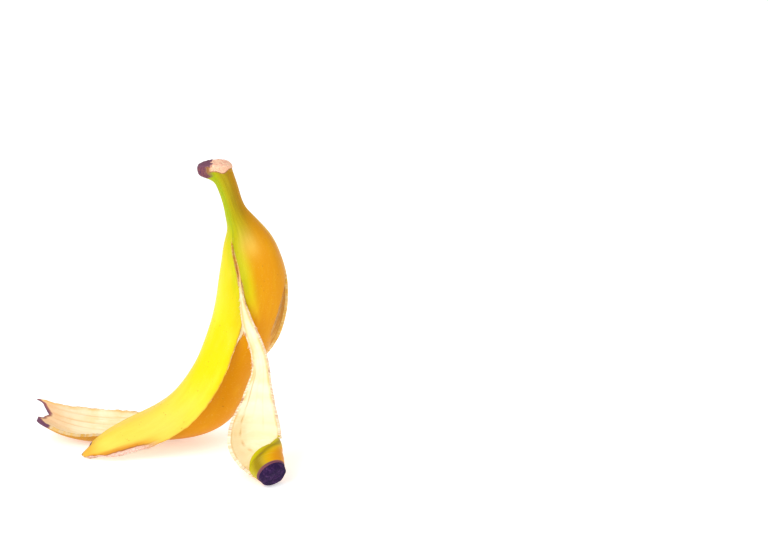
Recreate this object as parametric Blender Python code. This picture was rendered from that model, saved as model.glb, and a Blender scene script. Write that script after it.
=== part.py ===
"""An emptied banana peel that stands with its stem up on four splayed strips, made as one closed solid.

x runs to the right, y away from the front, z up from the floor. Sizes are in millimetres until the mesh is
made. "Along" is the distance down the peel from the cut end of the stem, and "around" is the angle about the
peel's middle line, 0 at the front and positive towards the right.
"""
import math

import bmesh
import bpy
import numpy as np

# Sizes of the whole peel
METRES = 0.001
WALL = 2.5
NECK_BOTTOM = 28.0
WALL_BELOW_NECK = 43.0
RIDGES = 5
RIDGE_HEIGHT = 0.35
RIDGE_START = 20.0
THIN_EDGE = 0.35

# Where the skin has torn: along and around
FRONT_TEAR = 36.0
RIGHT_TEAR = 49.0
LEFT_TEAR = 55.0
FRONT_LINE = [(36.0, -38.0), (41.0, -34.0), (49.0, -25.0), (60.0, -18.0), (72.0, -10.0), (84.0, 2.0)]
RIGHT_LINE = 84.0
RIGHT_RECESS = 30.0
RIGHT_RECESS_ALONG = (54.0, 72.0)
LEFT_LINE = -138.0
OPENING_SLOPE = 0.13
OPENING_MOST = 1.5
SLIT_LEFT_SHARE = 0.9
SLIT_RIGHT_SHARE = 0.4
TONGUE_ROOT = 0.7
SEAM_ANGLE = 0.03

# The stem and the round body: along, middle x, middle z, radius
TUBE = [
    (0.0, -9.6, 147.4, 6.0),
    (6.0, -7.4, 141.6, 5.3),
    (14.0, -4.7, 134.0, 4.9),
    (22.0, -2.5, 126.2, 5.0),
    (27.0, -1.0, 121.6, 5.8),
    (34.0, 1.6, 115.4, 8.1),
    (41.0, 3.7, 108.5, 11.8),
    (50.0, 5.6, 99.8, 14.8),
    (60.0, 6.6, 90.0, 16.9),
    (71.0, 6.1, 78.9, 17.8),
    (80.0, 3.8, 70.0, 17.3),
]
STEM_CAP = [(-0.9, 0.0), (-1.1, 3.4), (-0.3, 5.6)]
STEM_LOBE = 5.6
STEM_LOBE_ALONG = 2.6
STEM_LOBE_LENGTH = 3.4
STEM_SLANT = 0.42
STEM_SLANT_LENGTH = 8.0
STEM_LOBE_AROUND = -88.0
STEM_LOBE_SPREAD = 42.0

# The free strips: along, x, y, z, turn about the strip's own line, half width, radius of the curl
LEFT_STRIP = [
    (78.0, -12.2, -6.2, 71.8, -66.0, 18.0, 17.2),
    (96.0, -17.2, -12.0, 54.4, -58.0, 16.5, 16.5),
    (110.0, -22.8, -16.6, 42.0, -52.0, 15.5, 16.0),
    (125.0, -32.4, -20.2, 29.4, -50.0, 14.4, 15.0),
    (138.0, -43.4, -22.0, 21.4, -50.0, 13.6, 14.5),
    (153.0, -57.2, -23.2, 14.8, -51.0, 11.6, 14.0),
    (167.0, -69.4, -24.0, 8.6, -53.0, 9.4, 12.0),
    (182.0, -79.6, -24.4, 1.1, -58.0, 6.0, 10.0),
]
RIGHT_STRIP = [
    (76.0, 4.9, 0.0, 74.2, 24.9, 8.3, 17.5),
    (86.0, 1.7, 0.0, 65.2, 31.2, 8.3, 16.5),
    (92.0, -0.2, 0.0, 59.9, 37.9, 10.7, 16.1),
    (99.0, -2.6, 0.0, 53.8, 46.8, 14.7, 15.8),
    (118.0, -10.2, 0.0, 36.4, 46.0, 17.5, 15.0),
    (134.0, -17.6, 0.0, 22.4, 50.0, 17.5, 15.0),
    (143.0, -25.2, 0.0, 18.4, 60.0, 17.5, 15.0),
    (153.0, -34.6, 0.0, 16.4, 74.0, 18.0, 15.0),
    (168.0, -49.6, 0.0, 15.2, 88.0, 18.0, 15.0),
    (196.0, -77.4, 0.0, 14.8, 98.0, 17.2, 14.5),
    (209.0, -90.0, 0.6, 17.2, 99.0, 14.6, 14.0),
    (222.0, -102.4, 1.4, 22.4, 99.0, 10.4, 12.4),
    (226.0, -106.2, 1.7, 24.0, 99.0, 9.0, 12.0),
]
FRONT_STRIP = [
    (30.0, -2.0, -2.8, 118.6, -38.0, 0.7, 3.0),
    (36.0, -1.5, -4.8, 112.7, -38.0, 0.7, 3.0),
    (42.0, -0.1, -6.3, 107.8, -60.0, 0.8, 3.0),
    (48.0, 1.5, -9.8, 102.7, -105.0, 0.8, 3.0),
    (55.0, 1.9, -13.6, 96.1, -150.0, 0.8, 3.0),
    (63.0, 1.6, -18.7, 89.1, -178.0, 0.8, 3.2),
    (73.0, 2.8, -23.0, 80.8, -180.0, 1.7, 3.6),
    (82.0, 5.2, -25.9, 71.4, -180.0, 3.1, 4.6),
    (92.0, 8.8, -27.6, 61.0, -180.0, 3.8, 6.0),
    (102.0, 10.7, -29.4, 52.8, -180.0, 4.5, 7.4),
    (108.0, 11.0, -31.1, 48.5, -180.0, 5.3, 8.4),
    (114.0, 10.6, -33.6, 44.3, -180.0, 6.9, 9.8),
    (126.0, 9.7, -39.3, 35.6, -180.0, 10.4, 12.4),
    (138.0, 8.8, -44.2, 25.5, -178.0, 15.8, 13.6),
    (147.0, 9.0, -46.8, 17.2, -180.0, 18.7, 13.2),
    (151.0, 10.2, -47.3, 14.6, -188.5, 20.1, 12.6),
    (154.0, 11.4, -47.8, 13.2, -202.5, 22.5, 12.0),
    (157.0, 12.4, -48.8, 12.0, -220.0, 24.4, 11.2),
    (160.0, 13.5, -50.3, 10.8, -240.5, 26.2, 10.4),
    (163.0, 14.7, -51.9, 9.8, -260.0, 26.6, 9.4),
    (166.0, 15.8, -53.9, 8.9, -280.0, 27.5, 8.5),
    (170.0, 17.6, -56.9, 7.3, -280.0, 24.0, 7.1),
]
BACK_STRIP = [
    (76.0, 13.8, 17.2, 73.5, 151.5, 19.4, 18.2),
    (90.0, 9.4, 21.9, 60.9, 156.0, 17.6, 18.0),
    (105.0, 2.4, 28.3, 48.6, 163.0, 15.4, 17.5),
    (120.0, -4.6, 36.0, 36.6, 170.0, 14.2, 17.0),
    (135.0, -9.8, 45.0, 25.8, 174.0, 13.5, 17.0),
    (150.0, -13.0, 55.6, 15.8, 176.0, 12.5, 17.0),
    (163.0, -14.8, 66.2, 7.4, 178.0, 10.5, 17.0),
    (176.0, -15.8, 76.4, 0.4, 180.0, 7.6, 17.0),
]
END_SHAPES = {
    "left": [(-1.0, 7.0), (-0.3, 0.0), (0.2, 1.2), (0.5, 6.0), (0.75, 12.0), (1.0, 19.0)],
    "right": [(-1.0, 10.0), (-0.55, 5.0), (-0.1, 7.5), (0.35, 9.5), (0.75, 4.0), (1.0, 0.0)],
    "back": [(-1.0, 6.5), (-0.4, 1.0), (0.1, 0.0), (0.5, 2.2), (1.0, 7.5)],
    "tongue": [(-1.0, 0.0), (1.0, 0.0)],
}
BLOSSOM_CAP = [(0.8, 6.9), (2.0, 6.7), (2.9, 5.7), (3.2, 3.0), (3.0, 0.0)]
ROWS_SHARED = [0.6, 2.0, 3.6, 5.2, 7.0, 9.5, 14.0, 20.0, 25.0, 28.0, 30.5, 33.0, 36.0, 39.0, 42.0, 45.5, 49.0, 52.0, 55.0]
STRIP_STEP = 5.0
WELD = 0.002
ORIGIN = (-41.90, 6.75, 0.0)
LEFT_COLUMNS = 7
TONGUE_COLUMNS = 8
RIGHT_COLUMNS = 8
BACK_COLUMNS = 8


def spline(stations, at, slope=False):
    """The natural cubic spline through rows of (knot, values...), or its slope."""
    table = np.array(stations, float)
    knots, values = table[:, 0], table[:, 1:]
    count = len(knots)
    gaps = np.diff(knots)
    system = np.eye(count)
    right = np.zeros_like(values)
    for i in range(1, count - 1):
        system[i, i - 1:i + 2] = gaps[i - 1], 2 * (gaps[i - 1] + gaps[i]), gaps[i]
        right[i] = 6 * ((values[i + 1] - values[i]) / gaps[i] - (values[i] - values[i - 1]) / gaps[i - 1])
    bend = np.linalg.solve(system, right)
    at = np.atleast_1d(np.asarray(at, float))
    k = np.clip(np.searchsorted(knots, at) - 1, 0, count - 2)
    gap = gaps[k][:, None]
    after = ((at - knots[k])[:, None]).clip(0, gap)
    before = gap - after
    low, high = bend[k], bend[k + 1]
    start, end = values[k] / gap - low * gap / 6, values[k + 1] / gap - high * gap / 6
    if slope:
        return (high * after ** 2 - low * before ** 2) / (2 * gap) + end - start
    return (low * before ** 3 + high * after ** 3) / (6 * gap) + start * before + end * after


def smooth(value, low, high):
    """0 below low, 1 above high and an S between them."""
    part = np.clip((np.asarray(value, float) - low) / (high - low), 0.0, 1.0)
    return part * part * (3 - 2 * part)


def unit(rows):
    return rows / np.linalg.norm(rows, axis=-1, keepdims=True)


def frames(direction):
    """Front and right as they lie once "down" has been swung over to each direction."""
    direction = unit(direction)
    down = np.array([0.0, 0.0, -1.0])
    swing = np.cross(down, direction)
    share = 1 + (direction @ down)[:, None]
    turned = []
    for axis in ((0.0, -1.0, 0.0), (1.0, 0.0, 0.0)):
        first = np.cross(swing, axis)
        turned.append(np.array(axis) + first + np.cross(swing, first) / share)
    return turned


def front_line(along):
    return np.interp(along, [a for a, _ in FRONT_LINE], [b for _, b in FRONT_LINE])


def opening(along, tear):
    """How far an edge has drawn back from the middle of a tear."""
    return np.minimum(np.maximum(along - tear, 0.0) * OPENING_SLOPE, OPENING_MOST)


def tube_numbers(along):
    middle = spline(TUBE, along)
    slope = spline(TUBE, along, slope=True)
    centre = np.stack([middle[:, 0], 0 * middle[:, 0], middle[:, 1]], axis=1)
    direction = np.stack([slope[:, 0], 0 * slope[:, 0], slope[:, 1]], axis=1)
    return centre, direction, middle[:, 2]


def wall_at(along, radius):
    """The wall: solid down to the bottom of the neck, then as thin as the body's."""
    part = smooth(along, NECK_BOTTOM, WALL_BELOW_NECK) ** 0.5
    return np.where(along <= NECK_BOTTOM, radius, radius + (WALL - radius) * part)


def limits(name, along):
    """The two edges of a strip around the body, in degrees."""
    radius = tube_numbers(along)[2]
    middle = front_line(along)
    fan = 1 - smooth(along, 14.0, FRONT_TEAR)
    half = np.degrees(TONGUE_ROOT / radius)
    half = half + (22.0 - half) * fan
    gap = np.degrees(opening(along, FRONT_TEAR) / radius)
    left_gap = np.degrees(opening(along, LEFT_TEAR) / radius) / 2
    right_gap = np.degrees(opening(along, RIGHT_TEAR) / radius) / 2
    recess = RIGHT_RECESS * smooth(along, *RIGHT_RECESS_ALONG)
    table = {
        "left": (LEFT_LINE + left_gap, middle - half - gap * SLIT_LEFT_SHARE),
        "tongue": (middle - half, middle + half),
        "right": (middle + half + gap * SLIT_RIGHT_SHARE, RIGHT_LINE - right_gap - recess),
        "back": (RIGHT_LINE + right_gap, LEFT_LINE + 360 - left_gap),
    }
    low, high = table[name]
    return low + 0 * along, high + 0 * along


STRIPS = {
    "left": (LEFT_STRIP, LEFT_COLUMNS, (LEFT_TEAR, FRONT_TEAR), 18.0, False),
    "tongue": (FRONT_STRIP, TONGUE_COLUMNS, (FRONT_TEAR, FRONT_TEAR), 6.0, True),
    "right": (RIGHT_STRIP, RIGHT_COLUMNS, (FRONT_TEAR, RIGHT_TEAR), 18.0, True),
    "back": (BACK_STRIP, BACK_COLUMNS, (RIGHT_TEAR, LEFT_TEAR), 18.0, False),
}


def stations_of(name):
    """A strip's stations, with those of the round body above them."""
    table, _, tears, _, hollow = STRIPS[name]
    first = table[0][0]
    above = [a for a in (24.0, 30.0, 36.0, 42.0, 48.0, 55.0, 62.0, 68.0) if a < first - 4.0]
    along = np.array(above)
    centre, direction, radius = tube_numbers(along)
    low, high = limits(name, along)
    turn = (low + high) / 2
    front, right = frames(direction)
    outward = np.cos(np.radians(turn))[:, None] * front + np.sin(np.radians(turn))[:, None] * right
    point = centre if hollow else centre + radius[:, None] * outward
    half = np.radians(high - low) / 2 * radius
    return np.concatenate([np.column_stack([along, point, turn, half, radius]), np.array(table)])


def ragged(along, seed):
    """A torn edge's run in and out, as a part of the half width."""
    total = 0 * along
    for k, (length, size) in enumerate(((23.0, 0.022), (9.1, 0.016), (4.3, 0.010))):
        total = total + size * np.sin(2 * math.pi * along / length + seed * (k + 1.7))
    return total


def ridge(along, around):
    """The low ridges that run down a banana's skin."""
    wave = np.cos(np.radians(around + 12.0) * RIDGES)
    return RIDGE_HEIGHT * wave * smooth(along, RIDGE_START, RIDGE_START + 30.0)


def stem_lobe(along, around):
    """The torn lobe that sticks out to the left at the top of the stem."""
    away = (around - STEM_LOBE_AROUND + 180.0) % 360.0 - 180.0
    near = np.exp(-((along - STEM_LOBE_ALONG) / STEM_LOBE_LENGTH) ** 2)
    rough = 0.35 * np.sin(np.radians(around) * 3 + along * 1.3) * (1 - smooth(along, 2.0, 6.0))
    return STEM_LOBE * near * np.exp(-(away / STEM_LOBE_SPREAD) ** 2) + rough


def is_closed(name, along):
    """Whether a strip's two edges meet, as they do near the blossom end."""
    numbers = spline(stations_of(name), along)
    return numbers[:, 4] >= math.pi * numbers[:, 5]


def surface(name, along, across, below):
    """Points of a strip, below the skin by a part of the wall: 0 is the skin, 1 the inside."""
    _, _, tears, ease, hollow = STRIPS[name]
    column = across[None, :]
    row = along[:, None]
    low, high = limits(name, along)
    around = low[:, None] + (high - low)[:, None] * (column + 1) / 2

    # As a part of the stem and the round body
    centre, direction, radius = tube_numbers(along)
    front, right = frames(direction)
    angle = np.radians(around)[..., None]
    outward = np.cos(angle) * front[:, None] + np.sin(angle) * right[:, None]
    wall = wall_at(along, radius)[:, None]
    slant = -STEM_SLANT * radius[:, None] * np.sin(angle[..., 0]) * (1 - smooth(row, 0.0, STEM_SLANT_LENGTH))
    lift = ridge(row, around) + stem_lobe(row, around)
    reach = radius[:, None] + np.where(row <= NECK_BOTTOM, lift * (1 - below), lift) - below * wall
    on_body = centre[:, None] + reach[..., None] * outward - slant[..., None] * unit(direction)[:, None]

    # As a free strip
    table = stations_of(name)
    numbers = spline(table, along)
    slope = spline(table, along, slope=True)[:, :3]
    front, right = frames(slope)
    point, turn, half, curl = numbers[:, :3], np.radians(numbers[:, 3])[:, None], numbers[:, 4], numbers[:, 5]
    normal = np.cos(turn) * front + np.sin(turn) * right
    sideways = np.cos(turn) * right - np.sin(turn) * front
    if hollow:
        point = point + curl[:, None] * normal
    weight = np.where(column < 0, smooth(row, tears[0], tears[0] + ease), smooth(row, tears[1], tears[1] + ease))
    middle = smooth(row, min(tears), min(tears) + ease)
    weight = weight * np.abs(column) + middle * (1 - np.abs(column))
    jag = np.where(column < 0, ragged(row, 1.3 + tears[0]), ragged(row, 4.1 + tears[1]))
    jag = jag * (0.3 + 0.7 * smooth(row, 110.0, 175.0))
    spread = np.clip(half / curl, 0.02, math.pi)[:, None]
    closed = is_closed(name, along)[:, None]
    phi = column * spread * np.where(closed, 1.0, 1 + jag * np.abs(column) ** 3)
    most = math.pi - SEAM_ANGLE * ~closed
    phi = np.clip(phi, -most, most)[..., None]
    local = np.cos(phi) * normal[:, None] + np.sin(phi) * sideways[:, None]
    thin = WALL * (1 - THIN_EDGE * np.abs(column) ** 4 * ~closed)
    if name == "tongue":
        thin = thin * (0.72 + 0.28 * smooth(row, 80.0, 110.0))
        end = table[-1, 0]
        thin = thin + (curl[:, None] - thin) * smooth(row, end - 7.0, end)
    reach = curl[:, None] + ridge(row, around) * (spread < 1.6) - below * thin
    free = point[:, None] - (curl[:, None] * normal)[:, None] + reach[..., None] * local
    weight = weight[..., None]
    return on_body * (1 - weight) + free * weight


def rows_of(name, across):
    """How far along the peel each row lies, in one column of a strip."""
    shape = END_SHAPES[name]
    end = STRIPS[name][0][-1][0]
    last = ROWS_SHARED[-1]
    count = int(round((end - last) / STRIP_STEP))
    end = end - np.interp(across, [a for a, _ in shape], [b for _, b in shape])
    return np.array(ROWS_SHARED + list(np.linspace(last, end, count + 1)[1:]))


def sheets(name):
    """The skin and the inside of a strip as two grids of points."""
    outer, inner = [], []
    for across in np.linspace(-1.0, 1.0, STRIPS[name][1] + 1):
        along = rows_of(name, across)
        outer.append(surface(name, along, np.array([across]), 0.0))
        inner.append(surface(name, along, np.array([across]), 1.0))
    return np.concatenate(outer, axis=1), np.concatenate(inner, axis=1)


def on_floor(outer, inner):
    """Flattens what lies below the floor, the inside together with the skin."""
    lift = np.maximum(0.0, -np.minimum(outer[..., 2], inner[..., 2]))
    outer[..., 2] += lift
    inner[..., 2] += lift
    return outer, inner


def stem_cap(ring):
    """The cut end of the stem, from its middle out to the first row of the skin."""
    centre, direction, _ = tube_numbers(np.array([0.0]))
    direction = unit(direction)[0]
    first = centre[0] + direction * ROWS_SHARED[0]
    rows = []
    for along, radius in STEM_CAP:
        rows.append(centre[0] + direction * along + (ring - first) * radius / TUBE[0][3])
    return np.stack(rows + [ring])


def blossom_cap(ring):
    """The blunt blossom end, from the last row of the skin in to its middle."""
    table = stations_of("tongue")
    slope = spline(table, table[-1:, 0], slope=True)[:, :3]
    middle, radius = table[-1, 1:4], table[-1, 6]
    rows = [ring]
    for along, size in BLOSSOM_CAP:
        rows.append(middle + unit(slope)[0] * along + (ring - middle) * size / radius)
    return np.stack(rows)


def strip_grids(name):
    """All the faces of one strip as grids of points: skin, inside, torn edges and ends."""
    along = rows_of(name, 0.0)
    tears = STRIPS[name][2]
    outer, inner = on_floor(*sheets(name))
    hollow = along >= NECK_BOTTOM - 1e-6
    apart = ~is_closed(name, along)
    apart[1:] |= apart[:-1]
    left = apart & (along >= tears[0] - 1e-6)
    right = apart & (along >= tears[1] - 1e-6)
    grids = [
        stem_cap(outer[0]),
        outer,
        inner[hollow][:, ::-1],
        np.stack([inner[left, 0], outer[left, 0]], axis=1),
        np.stack([outer[right, -1], inner[right, -1]], axis=1),
    ]
    if name == "tongue":
        grids.append(blossom_cap(outer[-1]))
    else:
        grids.append(np.stack([outer[-1], inner[-1]]))
    return grids


def peel_mesh():
    """The whole peel as one mesh, welded where its strips meet."""
    points, quads, count = [], [], 0
    for name in STRIPS:
        for grid in strip_grids(name):
            rows, columns = grid.shape[:2]
            index = count + np.arange(rows * columns).reshape(rows, columns)
            corners = [index[:-1, :-1], index[1:, :-1], index[1:, 1:], index[:-1, 1:]]
            quads.append(np.stack(corners, axis=-1).reshape(-1, 4))
            points.append(grid.reshape(-1, 3))
            count += rows * columns
    mesh = bpy.data.meshes.new("peel")
    points = (np.concatenate(points) - np.array(ORIGIN)) * METRES
    mesh.from_pydata(points.tolist(), [], np.concatenate(quads).tolist())
    work = bmesh.new()
    work.from_mesh(mesh)
    bmesh.ops.remove_doubles(work, verts=work.verts, dist=WELD * METRES)
    bmesh.ops.triangulate(work, faces=work.faces)
    work.to_mesh(mesh)
    work.free()
    return mesh


def peel_material():
    material = bpy.data.materials.new("peel_skin")
    material.use_nodes = True
    shader = material.node_tree.nodes["Principled BSDF"]
    shader.inputs["Base Color"].default_value = (0.93, 0.62, 0.03, 1.0)
    shader.inputs["Roughness"].default_value = 0.45
    return material


def main():
    for thing in list(bpy.data.objects):
        bpy.data.objects.remove(thing)
    peel = bpy.data.objects.new("peel", peel_mesh())
    peel.data.materials.append(peel_material())
    bpy.context.scene.collection.objects.link(peel)


main()
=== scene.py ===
"""The looks of an emptied banana peel: skin, pith, torn edges, stem end and blossom end, on a pale stage.

Sizes are in millimetres until a mesh is made. "Along" is the distance down the peel from the torn end of
the stem. "Around" is the angle in degrees about the peel's middle line, 0 at the front and positive to the
right. "Column" is the place across a strip, from -1 at one edge to 1 at the other.
"""
import math

import bmesh
import bpy
import numpy as np
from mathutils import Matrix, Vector, noise


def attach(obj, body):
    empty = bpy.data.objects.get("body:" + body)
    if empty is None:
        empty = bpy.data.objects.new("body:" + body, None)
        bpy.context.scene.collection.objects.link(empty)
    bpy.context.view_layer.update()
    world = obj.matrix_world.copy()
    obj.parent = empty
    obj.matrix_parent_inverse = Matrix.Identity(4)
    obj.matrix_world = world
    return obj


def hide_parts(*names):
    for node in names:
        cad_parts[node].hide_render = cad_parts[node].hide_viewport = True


bl_info = {
    "name": "Banana Peel",
    "version": (1, 0, 0),
    "blender": (4, 5, 0),
    "location": "3D View > Sidebar > Banana Peel",
    "description": "Builds an emptied banana peel with its skin, pith and torn edges on a pale stage",
    "category": "Object",
}

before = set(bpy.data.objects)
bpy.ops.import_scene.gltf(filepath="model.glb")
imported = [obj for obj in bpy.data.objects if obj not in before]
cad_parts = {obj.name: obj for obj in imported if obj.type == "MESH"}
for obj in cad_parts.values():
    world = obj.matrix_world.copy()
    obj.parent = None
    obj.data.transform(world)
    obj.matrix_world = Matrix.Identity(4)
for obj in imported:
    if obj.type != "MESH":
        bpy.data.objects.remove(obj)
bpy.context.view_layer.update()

# Sizes of the whole peel
METRES = 0.001
WALL = 2.5
NECK_BOTTOM = 28.0
WALL_BELOW_NECK = 43.0
RIDGES = 5
RIDGE_HEIGHT = 0.35
RIDGE_START = 20.0
RIDGE_RUN = 30.0
RIDGE_TURN = 12.0
RIDGED_SPREAD = 1.6
THIN_EDGE = 0.35
ORIGIN = (-41.90, 6.75, 0.0)

# Where the skin has torn: along and around
FRONT_TEAR = 36.0
RIGHT_TEAR = 49.0
LEFT_TEAR = 55.0
FRONT_LINE = [(36.0, -38.0), (41.0, -34.0), (49.0, -25.0), (60.0, -18.0), (72.0, -10.0), (84.0, 2.0)]
RIGHT_LINE = 84.0
RIGHT_RECESS = 30.0
RIGHT_RECESS_ALONG = (54.0, 72.0)
LEFT_LINE = -138.0
OPENING_SLOPE = 0.13
OPENING_MOST = 1.5
SLIT_LEFT_SHARE = 0.5
SLIT_RIGHT_SHARE = 0.15
TONGUE_ROOT = 0.7
TONGUE_FAN = 22.0
TONGUE_FAN_START = 14.0
TONGUE_WALL = 0.72
TONGUE_WALL_ALONG = (80.0, 110.0)
CUP_FILL = 7.0
SEAM_ANGLE = 0.03

# The stem and the round body: along, middle x, middle z, radius
TUBE = [
    (0.0, -9.6, 147.4, 6.0),
    (6.0, -7.4, 141.6, 5.3),
    (14.0, -4.7, 134.0, 4.9),
    (22.0, -2.5, 126.2, 5.0),
    (27.0, -1.0, 121.6, 5.8),
    (34.0, 1.6, 115.4, 8.1),
    (41.0, 3.7, 108.5, 11.8),
    (50.0, 5.6, 99.8, 14.8),
    (60.0, 6.6, 90.0, 16.9),
    (71.0, 6.1, 78.9, 17.8),
    (80.0, 3.8, 70.0, 17.3),
]
FIRST_ROW = 0.6
STEM_CAP = [(-0.9, 0.0), (-1.1, 3.4), (-0.3, 5.6), (FIRST_ROW, 6.0)]
STEM_CAP_ROWS = 15
STEM_LOBE = 5.6
STEM_LOBE_ALONG = 2.6
STEM_LOBE_LENGTH = 3.4
STEM_SLANT = 0.42
STEM_SLANT_LENGTH = 8.0
STEM_LOBE_AROUND = -88.0
STEM_LOBE_SPREAD = 42.0

# The free strips: along, x, y, z, turn about the strip's own line, half width, radius of the curl
LEFT_STRIP = [
    (78.0, -12.2, -6.2, 71.8, -66.0, 18.0, 17.2),
    (96.0, -17.2, -12.0, 54.4, -58.0, 16.5, 16.5),
    (110.0, -22.8, -16.6, 42.0, -52.0, 15.5, 16.0),
    (125.0, -32.4, -20.2, 29.4, -50.0, 14.4, 15.0),
    (138.0, -43.4, -22.0, 21.4, -50.0, 13.6, 14.5),
    (153.0, -57.2, -23.2, 14.8, -51.0, 11.6, 14.0),
    (167.0, -69.4, -24.0, 8.6, -53.0, 9.4, 12.0),
    (182.0, -79.6, -24.4, 1.1, -58.0, 6.0, 10.0),
]
RIGHT_STRIP = [
    (76.0, 4.9, 0.0, 74.2, 24.9, 8.3, 17.5),
    (86.0, 1.7, 0.0, 65.2, 31.2, 8.3, 16.5),
    (92.0, -0.2, 0.0, 59.9, 37.9, 10.7, 16.1),
    (99.0, -2.6, 0.0, 53.8, 46.8, 14.7, 15.8),
    (118.0, -10.2, 0.0, 36.4, 46.0, 17.5, 15.0),
    (134.0, -17.6, 0.0, 22.4, 50.0, 17.5, 15.0),
    (143.0, -25.2, 0.0, 18.4, 60.0, 17.5, 15.0),
    (153.0, -34.6, 0.0, 16.4, 74.0, 18.0, 15.0),
    (168.0, -49.6, 0.0, 15.2, 88.0, 18.0, 15.0),
    (196.0, -77.4, 0.0, 14.8, 98.0, 17.2, 14.5),
    (209.0, -90.0, 0.6, 17.2, 99.0, 14.6, 14.0),
    (222.0, -102.4, 1.4, 22.4, 99.0, 10.4, 12.4),
    (226.0, -106.2, 1.7, 24.0, 99.0, 9.0, 12.0),
]
FRONT_STRIP = [
    (30.0, -2.0, -2.8, 118.6, -38.0, 0.7, 3.0),
    (36.0, -1.5, -4.8, 112.7, -38.0, 0.7, 3.0),
    (42.0, -0.1, -6.3, 107.8, -60.0, 0.8, 3.0),
    (48.0, 1.5, -9.8, 102.7, -105.0, 0.8, 3.0),
    (55.0, 1.9, -13.6, 96.1, -150.0, 0.8, 3.0),
    (63.0, 1.6, -18.7, 89.1, -178.0, 0.8, 3.2),
    (73.0, 2.8, -23.0, 80.8, -180.0, 1.7, 3.6),
    (82.0, 5.2, -25.9, 71.4, -180.0, 3.1, 4.6),
    (92.0, 8.8, -27.6, 61.0, -180.0, 3.8, 6.0),
    (102.0, 10.7, -29.4, 52.8, -180.0, 4.5, 7.4),
    (108.0, 11.0, -31.1, 48.5, -180.0, 5.3, 8.4),
    (114.0, 10.6, -33.6, 44.3, -180.0, 6.9, 9.8),
    (126.0, 9.7, -39.3, 35.6, -180.0, 10.4, 12.4),
    (138.0, 8.8, -44.2, 25.5, -178.0, 15.8, 13.6),
    (147.0, 9.0, -46.8, 17.2, -180.0, 18.7, 13.2),
    (151.0, 10.2, -47.3, 14.6, -188.5, 20.1, 12.6),
    (154.0, 11.4, -47.8, 13.2, -202.5, 22.5, 12.0),
    (157.0, 12.4, -48.8, 12.0, -220.0, 24.4, 11.2),
    (160.0, 13.5, -50.3, 10.8, -240.5, 26.2, 10.4),
    (163.0, 14.7, -51.9, 9.8, -260.0, 26.6, 9.4),
    (166.0, 15.8, -53.9, 8.9, -280.0, 27.5, 8.5),
    (170.0, 17.6, -56.9, 7.3, -280.0, 24.0, 7.1),
]
BACK_STRIP = [
    (76.0, 13.8, 17.2, 73.5, 151.5, 19.4, 18.2),
    (90.0, 9.4, 21.9, 60.9, 156.0, 17.6, 18.0),
    (105.0, 2.4, 28.3, 48.6, 163.0, 15.4, 17.5),
    (120.0, -4.6, 36.0, 36.6, 170.0, 14.2, 17.0),
    (135.0, -9.8, 45.0, 25.8, 174.0, 13.5, 17.0),
    (150.0, -13.0, 55.6, 15.8, 176.0, 12.5, 17.0),
    (163.0, -14.8, 66.2, 7.4, 178.0, 10.5, 17.0),
    (176.0, -15.8, 76.4, 0.4, 180.0, 7.6, 17.0),
]
BODY_STATIONS = (24.0, 30.0, 36.0, 42.0, 48.0, 55.0, 62.0, 68.0)
STATION_GAP = 4.0

# How far short of its last station each strip's end is: column, distance
END_SHAPES = {
    "left": [(-1.0, 7.0), (-0.3, 0.0), (0.2, 1.2), (0.5, 6.0), (0.75, 12.0), (1.0, 19.0)],
    "right": [(-1.0, 10.0), (-0.55, 5.0), (-0.1, 7.5), (0.35, 9.5), (0.75, 4.0), (1.0, 0.0)],
    "back": [(-1.0, 6.5), (-0.4, 1.0), (0.1, 0.0), (0.5, 2.2), (1.0, 7.5)],
    "tongue": [(-1.0, 0.0), (1.0, 0.0)],
}

# The blossom end: share of the way in, distance out past the last row, radius
BLOSSOM_CAP = [
    (0.0, 0.0, 7.1), (0.05, 0.8, 6.9), (0.12, 2.0, 6.7), (0.25, 2.9, 5.7), (0.6, 3.2, 3.0), (1.0, 3.0, 0.0),
]
BLOSSOM_CAP_ROWS = 17

# The strips: stations, where each edge tears, the ease into it, and whether the line is the curl's middle
STRIPS = {
    "left": (LEFT_STRIP, (LEFT_TEAR, FRONT_TEAR), 18.0, False),
    "tongue": (FRONT_STRIP, (FRONT_TEAR, FRONT_TEAR), 6.0, True),
    "right": (RIGHT_STRIP, (FRONT_TEAR, RIGHT_TEAR), 18.0, True),
    "back": (BACK_STRIP, (RIGHT_TEAR, LEFT_TEAR), 18.0, False),
}

# The cords in the pith: along and column down each, and its strength
CORD_WIDTH = 0.32
CORDS = {
    "left": [
        ([(60.0, -0.7), (176.0, -0.6)], 0.8), ([(60.0, -0.3), (172.0, -0.2)], 0.6),
        ([(60.0, 0.15), (178.0, 0.2)], 1.0), ([(70.0, 0.6), (168.0, 0.55)], 0.7),
    ],
    "tongue": [
        ([(106.0, 0.7), (122.0, 0.65), (134.0, 0.6), (141.0, 0.54), (148.0, 0.42), (154.0, 0.28)], 1.0),
        ([(98.0, 0.1), (126.0, 0.15), (156.0, 0.05)], 0.25),
        ([(96.0, -0.5), (126.0, -0.3), (158.0, -0.35)], 0.35),
    ],
    "right": [
        ([(60.0, -0.72), (210.0, -0.7)], 0.6), ([(60.0, -0.4), (214.0, -0.35)], 0.8),
        ([(60.0, -0.1), (218.0, -0.05)], 0.6), ([(60.0, 0.2), (214.0, 0.22)], 0.9),
        ([(60.0, 0.5), (218.0, 0.48)], 1.0), ([(60.0, 0.78), (222.0, 0.74)], 0.7),
    ],
    "back": [
        ([(60.0, -0.6), (168.0, -0.5)], 0.8), ([(60.0, -0.15), (172.0, -0.1)], 1.0),
        ([(60.0, 0.3), (170.0, 0.3)], 0.7), ([(60.0, 0.7), (168.0, 0.6)], 0.8),
    ],
}

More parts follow.
